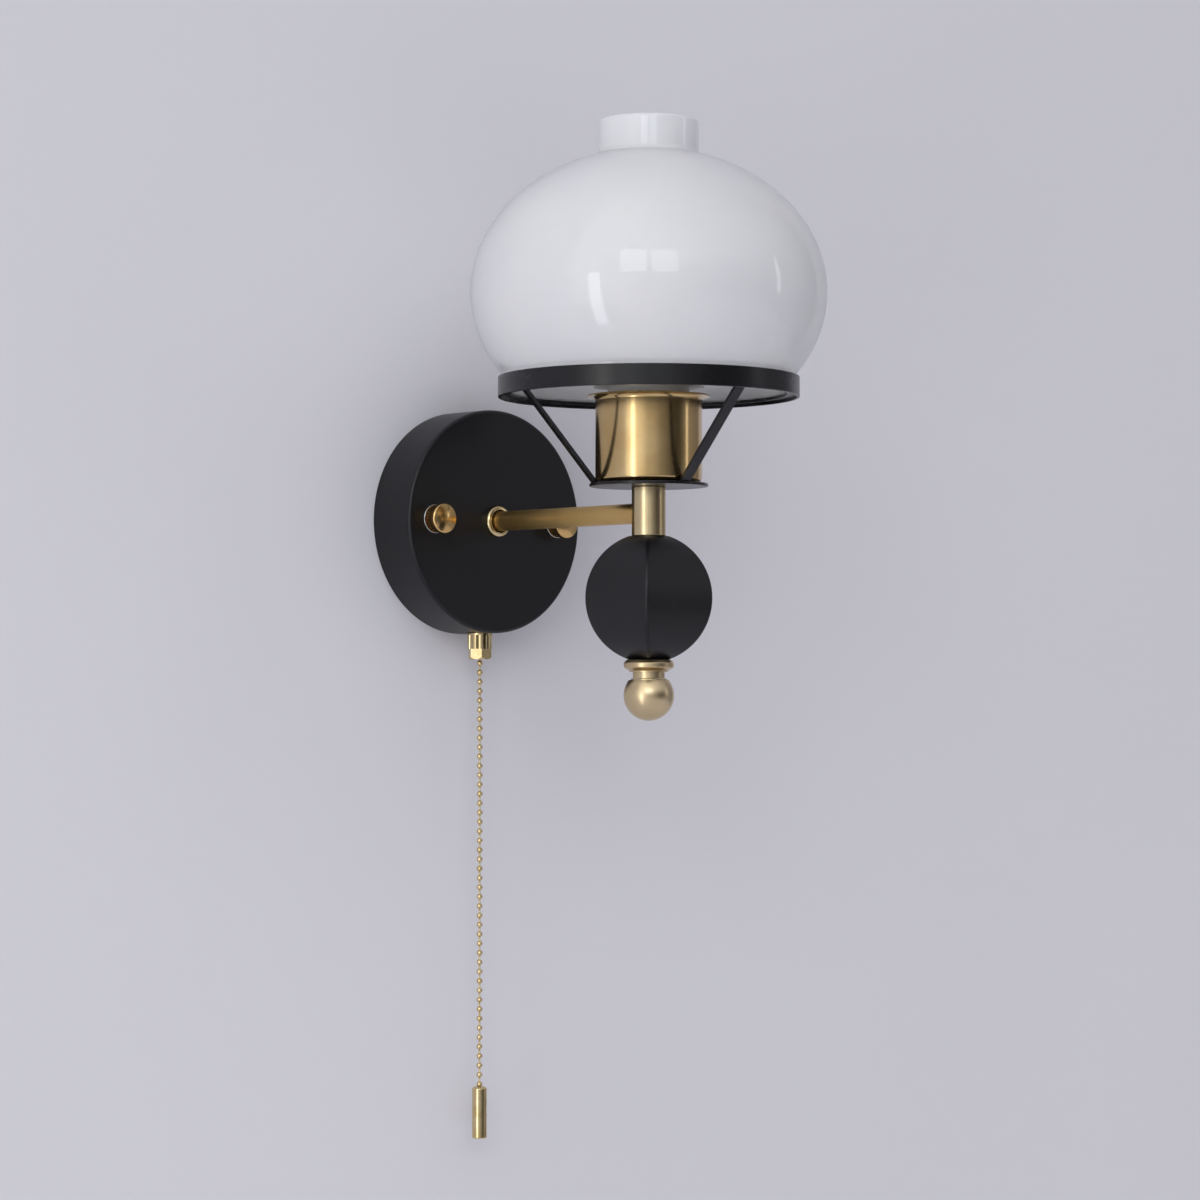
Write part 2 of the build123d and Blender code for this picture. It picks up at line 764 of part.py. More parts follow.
def fluted_nut():
    outline = Circle(fluted_nut_radius)
    flute_centre = fluted_nut_radius + flute_radius - flute_depth
    outline -= PolarLocations(flute_centre, flute_count) * Circle(flute_radius)
    outline -= Circle(neck_radius + thread_gap)
    return at_switch * Pos(0, 0, bell_top) * extrude(outline, fluted_nut_height)


def bell_mouth():
    outline = RegularPolygon(bell_across / 2, 6, major_radius=False)
    body = Pos(0, 0, bell_bottom) * extrude(outline, bell_height)
    hollow = turned(
        [(0, bell_bottom), (bell_mouth_radius, bell_bottom),
         (bell_throat_radius, bell_bottom + bell_mouth_depth), (bell_throat_radius, neck_bottom),
         (neck_radius + thread_gap, neck_bottom), (neck_radius + thread_gap, bell_top), (0, bell_top)],
    )
    corners = turned(
        [(0, bell_bottom), (bell_across / 2, bell_bottom),
         (bell_corner_radius, bell_bottom + bell_mouth_depth), (bell_corner_radius, bell_top),
         (0, bell_top)],
    )
    return at_switch * ((body & corners) - hollow)


def at_axle(piece, offset):
    # Puts a piece drawn along +Z on the switch's axle, offset away from the wall.
    return at_switch * Pos(drum_offset, 0, drum_height) * off_wall * Pos(0, 0, offset) * piece


def switch_axle():
    inside = switch_radius - switch_wall
    half = sqrt(inside ** 2 - (drum_offset + axle_radius) ** 2) - thread_gap
    return at_axle(rod(axle_radius, -half, half), 0)


def chain_drum():
    half = drum_width / 2
    return at_axle(ring(drum_radius, axle_radius + turning_gap, -half, half), 0)


def contact_rotor():
    # Four lobes that close the contacts on every other pull.
    low = -drum_width / 2 - body_gap - rotor_width
    outline = Circle(rotor_radius) - Circle(axle_radius + turning_gap)
    outline -= PolarLocations(rotor_radius, 4) * Circle(rotor_radius / 4)
    return at_axle(extrude(outline, rotor_width), low)


def return_spring():
    low = drum_width / 2 + body_gap
    return at_axle(ring(spring_radius, axle_radius + turning_gap, low, low + spring_width), 0)


def switch_contacts():
    # Two strips hang from the cover and reach the rotor from its side and from above.
    centre = drum_width / 2 + body_gap + rotor_width / 2
    side_height = switch_top - drum_height
    side = Box(contact_strip_thickness, rotor_width, side_height, align=(Align.MAX, Align.CENTER, Align.MAX))
    side = Pos(drum_offset - rotor_radius - body_gap, centre, switch_top) * side
    top_height = switch_top - drum_height - rotor_radius - body_gap
    top = Box(rotor_radius / 2, rotor_width, top_height, align=(Align.CENTER, Align.CENTER, Align.MAX))
    top = Pos(drum_offset, centre, switch_top) * top
    return Compound([at_switch * side, at_switch * top])


# ---- Chain and pendant ------------------------------------------------------------------------
def chain_lead():
    # The hidden stretch, from the drum down through the neck to just above the first bead.
    centres = [drum_height - number * bead_pitch for number in range(hidden_beads)]
    low = pivot_height + bead_radius + thread_gap
    return at_switch * bead_string(drum_height + bead_radius, low, centres)


def first_bead():
    return at_switch * Pos(0, 0, pivot_height) * Sphere(bead_radius)


def pull_chain():
    centres = [pivot_height - (number + 1) * bead_pitch for number in range(hanging_beads)]
    high = pivot_height - bead_radius - thread_gap
    low = last_bead - sqrt(bead_radius ** 2 - link_radius ** 2) - thread_gap
    return at_switch * bead_string(high, low, centres)


def pendant():
    low = pendant_top - pendant_length
    weight = turned(
        [(0, pendant_top), (pendant_radius - pendant_shoulder, pendant_top),
         (pendant_radius, pendant_top - pendant_shoulder), (pendant_radius, low), (0, low)],
        {3: pendant_round, 2: pendant_round},
    )
    return at_switch * (weight - rod(pendant_seat_radius, pendant_top - pendant_seat_depth, pendant_top))


# ---- Wiring -----------------------------------------------------------------------------------
def terminal_block():
    width = 2 * (terminal_pitch + terminal_margin)
    block = Box(width, terminal_depth, terminal_height, align=(Align.CENTER, Align.CENTER, Align.MIN))
    block = Pos(0, terminal_y, terminal_bottom) * block
    tube_radius = wire_radius + wire_gap + insert_wall
    for x in terminal_places:
        block -= Pos(x, terminal_y, terminal_bottom) * rod(tube_radius + thread_gap, 0, terminal_height)
        screw_hole = rod(clamp_screw_radius + clamp_screw_gap, 0, terminal_depth)
        block -= Pos(x, terminal_y, terminal_bottom + terminal_height / 2) * off_wall * screw_hole
    return block


def terminal_tubes():
    inner = wire_radius + wire_gap
    tube = ring(inner + insert_wall, inner, terminal_bottom, terminal_bottom + terminal_height)
    return Compound([Pos(x, terminal_y, 0) * tube for x in terminal_places])


def clamp_screws():
    inner = wire_radius + wire_gap
    low = inner + insert_wall + thread_gap
    screw = off_wall * rod(clamp_screw_radius, low, terminal_depth / 2)
    middle = terminal_bottom + terminal_height / 2
    return Compound([Pos(x, terminal_y, middle) * screw for x in terminal_places])


def feed_wire():
    # From the live terminal down to the switch.
    x = terminal_places[0]
    points = [(x, terminal_y, terminal_bottom + wire_bend), (x, terminal_y, -bracket_width),
              (-switch_wire_x, -switch_depth, switch_end + wire_rise),
              (-switch_wire_x, -switch_depth, switch_end)]
    return wire(points, wire_bend)


def switched_wire():
    # From the switch through the arm to the lamp holder.
    points = [(switch_wire_x, -switch_depth, switch_end),
              (switch_wire_x, -switch_depth, switch_end + wire_rise),
              (wire_pair_offset, -wire_turn_depth, -wire_rise), (wire_pair_offset, -wire_turn_depth, 0),
              (wire_pair_offset, -arm_reach, 0), (wire_pair_offset, -arm_reach, insert_bottom)]
    return wire(points, arm_wire_bend)


def neutral_wire():
    # From the neutral terminal through the arm to the lamp holder.
    x = terminal_places[1]
    points = [(x, terminal_y, terminal_bottom + wire_bend), (x, terminal_y, 0),
              (-wire_pair_offset, nipple_mouth + wire_bend / 2, 0), (-wire_pair_offset, -arm_reach, 0),
              (-wire_pair_offset, -arm_reach, insert_bottom)]
    return wire(points, arm_wire_bend)


def earth_wire():
    # From the earth terminal to the screw on the bracket.
    x = terminal_places[2]
    landing = -bracket_thickness - earth_head_height
    points = [(x, terminal_y, terminal_bottom + wire_bend), (x, terminal_y, 0), (x, landing, 0)]
    return wire(points, arm_wire_bend)


# ---- Every piece, by name ---------------------------------------------------------------------
pieces = {
    "wall_bracket": wall_bracket(),
    "bracket_studs": studs(),
    "stud_lock_nuts": stud_nuts(),
    "earth_screw": earth_screw(),
    "canopy": canopy(),
    "cap_nut_washers": nut_washers(),
    "cap_nut_left": cap_nut(-1),
    "cap_nut_right": cap_nut(1),
    "arm_collar": arm_collar(),
    "rear_nipple": rear_nipple(),
    "arm_lock_nut": arm_lock_nut(),
    "arm_tube": arm_tube(),
    "front_nipple": front_nipple(),
    "stem": stem(),
    "lamp_nipple": lamp_nipple(),
    "tie_rod": tie_rod(),
    "gallery_plate": gallery_plate(),
    "gallery_ring": gallery_ring(),
    "gallery_bar_left": gallery_bar(0),
    "gallery_bar_right": gallery_bar(1),
    "gallery_bar_back": gallery_bar(2),
    "brass_cup": brass_cup(),
    "cup_lock_nut": cup_nut(),
    "holder_base": holder_base(),
    "holder_insert": holder_insert(),
    "socket_shell": socket_shell(),
    "socket_contact": socket_contact(),
    "holder_sleeve": holder_sleeve(),
    "shade_ring": shade_ring(),
    "bulb_contact": bulb_contact(),
    "bulb_insulator": bulb_insulator(),
    "bulb_cap": bulb_cap(),
    "bulb_body": bulb_body(),
    "bulb_diffuser": bulb_diffuser(),
    "glass_shade": glass_shade(),
    "ridged_ball": ridged_ball(),
    "finial_collar": finial_collar(),
    "finial_ball": finial_ball(),
    "switch_housing": switch_housing(),
    "switch_cover": switch_cover(),
    "switch_neck": switch_neck(),
    "switch_washer": switch_washer(),
    "fluted_nut": fluted_nut(),
    "bell_mouth": bell_mouth(),
    "switch_axle": switch_axle(),
    "chain_drum": chain_drum(),
    "contact_rotor": contact_rotor(),
    "return_spring": return_spring(),
    "switch_contacts": switch_contacts(),
    "chain_lead": chain_lead(),
    "first_bead": first_bead(),
    "pull_chain": pull_chain(),
    "pendant": pendant(),
    "terminal_block": terminal_block(),
    "terminal_tubes": terminal_tubes(),
    "clamp_screws": clamp_screws(),
    "feed_wire": feed_wire(),
    "switched_wire": switched_wire(),
    "neutral_wire": neutral_wire(),
    "earth_wire": earth_wire(),
}

os.makedirs("parts", exist_ok=True)
for name, shape in pieces.items():
    export_step(shape, f"parts/{name}.step")

chain_length = pivot_height - bead_radius - pendant_top
print(f"{len(pieces)} pieces")
print(f"chain hangs straight for {chain_length:.1f} mm below the first bead, bead {2 * bead_radius} mm")
print(f"first bead at {pivot_height:.2f}, pendant's top at {pendant_top:.2f}")
print(f"drum's axle at x {drum_offset:.2f}, z {drum_height:.2f}")
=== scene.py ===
import json
import math

import bpy
import numpy as np
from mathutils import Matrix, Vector


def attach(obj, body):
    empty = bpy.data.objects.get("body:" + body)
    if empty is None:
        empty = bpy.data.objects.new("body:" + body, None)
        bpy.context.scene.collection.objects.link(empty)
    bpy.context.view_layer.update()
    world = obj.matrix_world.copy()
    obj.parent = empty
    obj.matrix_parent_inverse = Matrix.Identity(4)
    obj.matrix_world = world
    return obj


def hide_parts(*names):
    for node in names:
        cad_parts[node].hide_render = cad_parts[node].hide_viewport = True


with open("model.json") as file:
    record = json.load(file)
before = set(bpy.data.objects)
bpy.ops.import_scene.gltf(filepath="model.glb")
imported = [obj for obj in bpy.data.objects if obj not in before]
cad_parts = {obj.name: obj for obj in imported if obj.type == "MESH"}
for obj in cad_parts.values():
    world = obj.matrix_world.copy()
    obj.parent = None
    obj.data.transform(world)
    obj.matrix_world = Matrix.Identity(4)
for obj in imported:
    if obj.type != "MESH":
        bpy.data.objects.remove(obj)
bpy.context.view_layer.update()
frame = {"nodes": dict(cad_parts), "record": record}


def toLinear(hexText):
    # each sRGB channel c becomes ((c + 0.055) / 1.055) ^ 2.4, or c / 12.92 when it is small
    channels = [int(hexText[i:i + 2], 16) / 255 for i in (1, 3, 5)]
    return [c / 12.92 if c <= 0.04045 else ((c + 0.055) / 1.055) ** 2.4 for c in channels] + [1.0]


def addNode(tree, kind, inputs=None, stops=None, **settings):
    # one node: its plain settings, its sockets given as values or as the sockets that feed them,
    # and a colour ramp's stops as (position, grey or hex colour)
    node = tree.nodes.new(kind)
    for name, value in settings.items():
        setattr(node, name, value)
    for name, value in (inputs or {}).items():
        if isinstance(value, bpy.types.NodeSocket):
            tree.links.new(value, node.inputs[name])
        else:
            node.inputs[name].default_value = value
    for k, (place, colour) in enumerate(stops or []):
        element = node.color_ramp.elements[k] if k < 2 else node.color_ramp.elements.new(1.0)
        element.position = place
        element.color = toLinear(colour) if isinstance(colour, str) else [colour] * 3 + [1.0]
    return node


def newMaterial(name):
    material = bpy.data.materials.new(name)
    material.use_nodes = True
    material.node_tree.nodes.clear()
    return material, material.node_tree


# camera

camera = {
    "place": (-1.1954, -1.4285, -0.0919),   # metres, found from the photograph's own perspective
    "turn": (91.55, 0.0, -42.26),   # degrees
    "lens": 102.78,   # millimetres on a 36 mm sensor
}


def makeCamera():
    data = bpy.data.cameras.new("camera")
    data.lens = camera["lens"]
    data.sensor_width = 36.0
    data.clip_start = 0.05
    data.clip_end = 60.0
    item = bpy.data.objects.new("camera", data)
    bpy.context.scene.collection.objects.link(item)
    item.location = camera["place"]
    item.rotation_euler = [math.radians(a) for a in camera["turn"]]
    bpy.context.scene.camera = item


makeCamera()
print("camera placed")


# surfaces

def meshFrom(name, points, faces, smooth=True):
    # points is an array of n rows of x, y, z, faces an array of rows of corner numbers
    mesh = bpy.data.meshes.new(name)
    mesh.vertices.add(len(points))
    mesh.vertices.foreach_set("co", np.asarray(points, np.float32).ravel())
    sides = faces.shape[1]
    mesh.loops.add(faces.size)
    mesh.loops.foreach_set("vertex_index", faces.astype(np.int32).ravel())
    mesh.polygons.add(len(faces))
    mesh.polygons.foreach_set("loop_start", np.arange(0, faces.size, sides, dtype=np.int32))
    mesh.update(calc_edges=True)
    mesh.validate()
    mesh.polygons.foreach_set("use_smooth", np.full(len(mesh.polygons), smooth))
    item = bpy.data.objects.new(name, mesh)
    bpy.context.scene.collection.objects.link(item)
    return item


def gridFaces(rows, columns):
    # quads of a grid whose columns close on themselves: corner (i, j) is number i * columns + j
    i, j = np.meshgrid(np.arange(rows - 1), np.arange(columns), indexing="ij")
    k = (j + 1) % columns
    here, above = i * columns, (i + 1) * columns
    return np.stack([here + j, here + k, above + k, above + j], -1).reshape(-1, 4)


# chain of hollow beads

chain = {   # metres
    "beadRadius": 0.0016,
    "linkRadius": 0.00045,
    "pitch": 0.00503,
    "beads": 45,
    "firstDrop": 0.00335,   # from the start of the route to the middle of the first bead on it
    "mouth": (0.0, -0.0165, -0.0739),   # where the chain leaves the bell
    # it hangs straight under its own weight: from just below the swivelling bead to the pendant
    "route": [(0.0, -0.0165, -0.07768), (0.0, -0.0165, -0.095), (0.0, -0.0165, -0.145),
              (0.0, -0.0165, -0.205), (0.0, -0.0165, -0.265), (0.0, -0.0165, -0.30394)],
    "rings": 11,   # rings of points on each bead
    "sides": 16,
}


def readRoute(points):
    # the smooth line that a NURBS spline with these control points runs along
    curve = bpy.data.curves.new("chainRoute", "CURVE")
    curve.dimensions = "3D"
    curve.resolution_u = 24
    spline = curve.splines.new("NURBS")
    spline.points.add(len(points) - 1)
    spline.points.foreach_set("co", np.c_[np.array(points), np.ones(len(points))].ravel())
    spline.order_u = 3
    spline.use_endpoint_u = True
    item = bpy.data.objects.new("chainRoute", curve)
    line = bpy.data.meshes.new_from_object(item)
    places = np.empty(3 * len(line.vertices))
    line.vertices.foreach_get("co", places)
    bpy.data.objects.remove(item)
    return places.reshape(-1, 3)


def makeChain():
    # the strand's radius is r(t) = sqrt(R^2 - t^2) within a bead, t from its middle, and the
    # link's own radius between beads. The strand is that profile carried along the route: at
    # length d, point p(d) + r (a cos u + b sin u), with a and b square to the route
    beadR, linkR = chain["beadRadius"], chain["linkRadius"]
    route = readRoute(chain["route"])
    steps = np.linalg.norm(np.diff(route, axis=0), axis=1)
    along = np.r_[0.0, np.cumsum(steps)]
    meet = math.asin(math.sqrt(1 - (linkR / beadR) ** 2))   # where a bead's ball meets its link
    t = beadR * np.sin(np.linspace(-meet, meet, chain["rings"]))
    middles = chain["firstDrop"] + chain["pitch"] * np.arange(chain["beads"])
    far = (middles[:, None] + t[None, :]).ravel()
    radii = np.tile(np.sqrt(beadR ** 2 - t ** 2), len(middles))
    inside = far < along[-1]
    far = np.r_[0.0, far[inside], along[-1]]
    radii = np.r_[linkR, radii[inside], linkR]
    centres = np.stack([np.interp(far, along, route[:, k]) for k in range(3)], -1)
    way = np.gradient(centres, far, axis=0)
    way /= np.linalg.norm(way, axis=1)[:, None]
    a = np.cross(way, (0.0, 1.0, 0.0))
    a /= np.linalg.norm(a, axis=1)[:, None]
    b = np.cross(way, a)
    u = np.linspace(0, 2 * math.pi, chain["sides"], endpoint=False)
    out = a[:, None] * np.cos(u)[None, :, None] + b[:, None] * np.sin(u)[None, :, None]
    points = (centres[:, None] + radii[:, None, None] * out).reshape(-1, 3)
    rows, sides = len(far), len(u)
    quads = gridFaces(rows, sides)[:, ::-1]
    j = np.arange(sides)
    k = (j + 1) % sides
    lastRow = (rows - 1) * sides
    startCap = np.stack([np.full(sides, rows * sides), k, j], -1)
    endCap = np.stack([np.full(sides, rows * sides + 1), lastRow + j, lastRow + k], -1)
    points = np.vstack([points, centres[:1], centres[-1:]])
    mesh = bpy.data.meshes.new("beadChain")
    mesh.from_pydata(points.tolist(), [], quads.tolist() + startCap.tolist() + endCap.tolist())
    mesh.polygons.foreach_set("use_smooth", np.full(len(mesh.polygons), True))
    item = bpy.data.objects.new("beadChain", mesh)
    bpy.context.scene.collection.objects.link(item)
    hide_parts("pull_chain")
    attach(item, "hanging_chain")
    return item


beadChain = makeChain()
print("chain hung:", len(beadChain.data.polygons), "faces")


# finishes. Sizes in these dictionaries are in millimetres. A noise's scale is the number of its
# cells in a metre, so it is 1000 / size

blackCoat = {
    "name": "satinBlackPowderCoat",
    "colour": "#0e0e11",
    "dusty": "#131317",
    "roughness": 0.38,
    "gloss": 0.33,
    "peel": 1.1,
    "dust": 36,
}
galleryCoat = dict(blackCoat, name="glossBlackPowderCoat", colour="#0b0b0e", dusty="#111114",
                   roughness=0.27, gloss=0.36)


def blackPowderCoat(coat):
    # baked polyester powder over steel: even black, satin or with more gloss, a faint orange peel
    # about a millimetre across, and a trace of dust that lifts the black a little in patches
    material, tree = newMaterial(coat["name"])
    place = addNode(tree, "ShaderNodeTexCoord").outputs["Object"]
    peel = addNode(tree, "ShaderNodeTexNoise",
                   {"Vector": place, "Scale": 1000 / coat["peel"], "Detail": 2.0})
    dust = addNode(tree, "ShaderNodeTexNoise",
                   {"Vector": place, "Scale": 1000 / coat["dust"], "Detail": 5.0, "Roughness": 0.6})
    colour = addNode(tree, "ShaderNodeValToRGB", {"Fac": dust.outputs["Fac"]},
                     stops=[(0.35, coat["colour"]), (0.75, coat["dusty"])])
    rough = addNode(tree, "ShaderNodeMapRange",
                    {"Value": dust.outputs["Fac"], "From Min": 0.3, "From Max": 0.7,
                     "To Min": coat["roughness"] - 0.03, "To Max": coat["roughness"] + 0.04})
    bump = addNode(tree, "ShaderNodeBump",
                   {"Height": peel.outputs["Fac"], "Strength": 0.25, "Distance": 0.00008})
    shader = addNode(tree, "ShaderNodeBsdfPrincipled",
                     {"Base Color": colour.outputs["Color"], "Roughness": rough.outputs["Result"],
                      "Specular IOR Level": coat["gloss"], "Normal": bump.outputs["Normal"]})
    addNode(tree, "ShaderNodeOutputMaterial", {"Surface": shader.outputs["BSDF"]})
    return material


spunBrass = {
    "name": "satinSpunBrass",
    "colour": "#cfb483",
    "dull": "#bfa06d",
    "roughness": 0.18,
    "lines": 0.5,   # a real lathe's and abrasive's lines are under 0.1 apart: coarser, to show
    "patch": 22,
}
paleBrass = dict(spunBrass, name="paleSpunBrass", colour="#cab892", dull="#bea87f", roughness=0.24)
finialBrass = dict(spunBrass, name="rubbedBrass", colour="#cfbc98", dull="#c4ae87",
                   roughness=0.30, lines=0.4)
armBrass = dict(spunBrass, name="brushedBrass", colour="#cfae71", dull="#c39f60", roughness=0.38)
buttonBrass = dict(spunBrass, name="lacqueredBrass", colour="#dcbb82", dull="#cea768",
                   roughness=0.20, lines=0.6)
linesLength = 60.0   # how many times longer a line is than wide


def satinSpunBrass(brass):
    # brass turned in a lathe, rubbed with a fine abrasive and lacquered: the light runs in long
    # bands, with fine rings round the axis and slightly browner patches under the lacquer.
    # One line with its gap is about three cells of the noise
    material, tree = newMaterial(brass["name"])
    place = addNode(tree, "ShaderNodeTexCoord").outputs["Object"]
    rings = addNode(tree, "ShaderNodeMapping", {"Vector": place, "Scale": (1.0, 1.0, linesLength)})
    lines = addNode(tree, "ShaderNodeTexNoise",
                    {"Vector": rings.outputs["Vector"],
                     "Scale": 3000 / linesLength / brass["lines"],
                     "Detail": 3.0, "Roughness": 0.65})
    patch = addNode(tree, "ShaderNodeTexNoise",
                    {"Vector": place, "Scale": 1000 / brass["patch"], "Detail": 4.0})
    colour = addNode(tree, "ShaderNodeValToRGB", {"Fac": patch.outputs["Fac"]},
                     stops=[(0.3, brass["dull"]), (0.65, brass["colour"])])
    rough = addNode(tree, "ShaderNodeMapRange",
                    {"Value": lines.outputs["Fac"], "From Min": 0.3, "From Max": 0.7,
                     "To Min": brass["roughness"] - 0.03, "To Max": brass["roughness"] + 0.03})
    bump = addNode(tree, "ShaderNodeBump",
                   {"Height": lines.outputs["Fac"], "Strength": 0.03, "Distance": 0.00003})
    shader = addNode(tree, "ShaderNodeBsdfPrincipled",
                     {"Base Color": colour.outputs["Color"], "Metallic": 1.0,
                      "Roughness": rough.outputs["Result"], "Normal": bump.outputs["Normal"]})
    addNode(tree, "ShaderNodeOutputMaterial", {"Surface": shader.outputs["BSDF"]})
    return material


buffedBrass = {
    "name": "polishedBrass",
    "colour": "#dac79c",
    "tarnish": "#cbb27e",
    "roughness": 0.13,
    "patch": 6.25,
    "scratch": 0.6,   # real ones are a few hundredths wide: coarser, to show
}
chainBrass = dict(buffedBrass, name="barrelPolishedBrass", roughness=0.20, scratch=0.5)
turnedBrass = dict(buffedBrass, name="turnedBrass", roughness=0.30, scratch=0.4)


def polishedBrass(brass):
    # brass buffed bright: sharp reflections, warmer where the buff has missed, and tiny scratches
    material, tree = newMaterial(brass["name"])
    place = addNode(tree, "ShaderNodeTexCoord").outputs["Object"]
    patch = addNode(tree, "ShaderNodeTexNoise",
                    {"Vector": place, "Scale": 1000 / brass["patch"], "Detail": 4.0,
                     "Roughness": 0.6})
    colour = addNode(tree, "ShaderNodeValToRGB", {"Fac": patch.outputs["Fac"]},
                     stops=[(0.3, brass["tarnish"]), (0.6, brass["colour"])])
    scratch = addNode(tree, "ShaderNodeTexNoise",
                      {"Vector": place, "Scale": 1000 / brass["scratch"], "Detail": 3.0})
    rough = addNode(tree, "ShaderNodeMapRange",
                    {"Value": scratch.outputs["Fac"], "From Min": 0.35, "From Max": 0.7,
                     "To Min": brass["roughness"] - 0.03, "To Max": brass["roughness"] + 0.06})
    bump = addNode(tree, "ShaderNodeBump",
                   {"Height": scratch.outputs["Fac"], "Strength": 0.08, "Distance": 0.00004})
    shader = addNode(tree, "ShaderNodeBsdfPrincipled",
                     {"Base Color": colour.outputs["Color"], "Metallic": 1.0,
                      "Roughness": rough.outputs["Result"], "Normal": bump.outputs["Normal"]})
    addNode(tree, "ShaderNodeOutputMaterial", {"Surface": shader.outputs["BSDF"]})
    return material


zincBath = {
    "name": "zincPlatedSteel",
    "colour": "#a9abae",
    "cloudy": "#8c8e90",
    "roughness": 0.32,
    "cloud": 8.3,
}
nickelBath = dict(zincBath, name="nickelPlatedSteel", colour="#b9b4a6", roughness=0.22)


def platedSteel(bath):
    # steel out of a bright zinc or nickel bath: pale grey metal, faintly cloudy
    material, tree = newMaterial(bath["name"])
    place = addNode(tree, "ShaderNodeTexCoord").outputs["Object"]
    cloud = addNode(tree, "ShaderNodeTexNoise",
                    {"Vector": place, "Scale": 1000 / bath["cloud"], "Detail": 5.0,
                     "Roughness": 0.65})
    shade = addNode(tree, "ShaderNodeValToRGB", {"Fac": cloud.outputs["Fac"]},
                    stops=[(0.3, bath["cloudy"]), (0.65, bath["colour"])])
    rough = addNode(tree, "ShaderNodeMapRange",
                    {"Value": cloud.outputs["Fac"], "From Min": 0.3, "From Max": 0.7,
                     "To Min": bath["roughness"] - 0.05, "To Max": bath["roughness"] + 0.08})
    shader = addNode(tree, "ShaderNodeBsdfPrincipled",
                     {"Base Color": shade.outputs["Color"], "Metallic": 1.0,
                      "Roughness": rough.outputs["Result"]})
    addNode(tree, "ShaderNodeOutputMaterial", {"Surface": shader.outputs["BSDF"]})
    return material


opal = {
    "name": "blownOpalGlass",
    "colour": "#fafafa",
    "thin": "#f6f7f8",
    "ior": 1.52,
    "roughness": 0.04,
    "depth": 5,   # how far the light sinks in
    "through": 0.50,   # share of the light that comes out on the other side
    "wave": 45,
}


def blownOpalGlass():
    # opal glass blown in a mould and fire polished: milky white that light sinks into a few
    # millimetres, a hard gloss, and a very slow waviness left by blowing. The coat makes up for
    # the gloss that the translucent half of the mix hasn't
    material, tree = newMaterial(opal["name"])
    place = addNode(tree, "ShaderNodeTexCoord").outputs["Object"]
    wave = addNode(tree, "ShaderNodeTexNoise",
                   {"Vector": place, "Scale": 1000 / opal["wave"], "Detail": 1.0})
    tint = addNode(tree, "ShaderNodeValToRGB", {"Fac": wave.outputs["Fac"]},
                   stops=[(0.3, opal["thin"]), (0.7, opal["colour"])])
    bump = addNode(tree, "ShaderNodeBump",
                   {"Height": wave.outputs["Fac"], "Strength": 0.15, "Distance": 0.0006})
    shader = addNode(tree, "ShaderNodeBsdfPrincipled",
                     {"Base Color": tint.outputs["Color"], "IOR": opal["ior"],
                      "Roughness": opal["roughness"], "Coat Weight": 1.0, "Coat Roughness": 0.03,
                      "Subsurface Weight": 0.4, "Subsurface Radius": (1.0, 0.95, 0.9),
                      "Subsurface Scale": opal["depth"] / 1000,
                      "Normal": bump.outputs["Normal"]})
    milk = addNode(tree, "ShaderNodeBsdfTranslucent", {"Color": tint.outputs["Color"]})
    body = addNode(tree, "ShaderNodeMixShader", {"Fac": opal["through"], 1: shader.outputs["BSDF"],
                                                 2: milk.outputs["BSDF"]})
    addNode(tree, "ShaderNodeOutputMaterial", {"Surface": body.outputs["Shader"]})
    return material


whitePolyester = {
    "name": "whitePolyester",
    "colour": "#dcdcda",
    "cloudy": "#d4d3d0",
    "roughness": 0.30,
    "cloud": 17,
    "grain": 0.5,   # a real mould's grain is about 0.1: coarser, to show
}
milkyPolycarbonate = dict(whitePolyester, name="milkyPolycarbonate", colour="#ecebe6",
                          cloudy="#e7e6e0", roughness=0.35, grain=0.6)
blackPhenolic = dict(whitePolyester, name="blackPhenolic", colour="#1c1b1b", cloudy="#161515",
                     roughness=0.40)
brownPvc = dict(whitePolyester, name="brownPvc", colour="#4a2a1b", cloudy="#402416",
                roughness=0.45, grain=0.7)
bluePvc = dict(brownPvc, name="bluePvc", colour="#2b5ea3", cloudy="#244f8c")
greenPvc = dict(brownPvc, name="greenPvc", colour="#5f8f35", cloudy="#53802d")


def mouldedPlastic(plastic):
    # thermoset or PVC out of a steel mould: one colour with a slight cloud, and a fine even grain
    material, tree = newMaterial(plastic["name"])
    place = addNode(tree, "ShaderNodeTexCoord").outputs["Object"]
    cloud = addNode(tree, "ShaderNodeTexNoise",
                    {"Vector": place, "Scale": 1000 / plastic["cloud"], "Detail": 3.0})
    shade = addNode(tree, "ShaderNodeValToRGB", {"Fac": cloud.outputs["Fac"]},
                    stops=[(0.3, plastic["cloudy"]), (0.7, plastic["colour"])])
    grain = addNode(tree, "ShaderNodeTexNoise",
                    {"Vector": place, "Scale": 1000 / plastic["grain"], "Detail": 2.0})
    bump = addNode(tree, "ShaderNodeBump",
                   {"Height": grain.outputs["Fac"], "Strength": 0.15, "Distance": 0.00005})
    shader = addNode(tree, "ShaderNodeBsdfPrincipled",
                     {"Base Color": shade.outputs["Color"], "Roughness": plastic["roughness"],
                      "Normal": bump.outputs["Normal"]})
    addNode(tree, "ShaderNodeOutputMaterial", {"Surface": shader.outputs["BSDF"]})
    return material


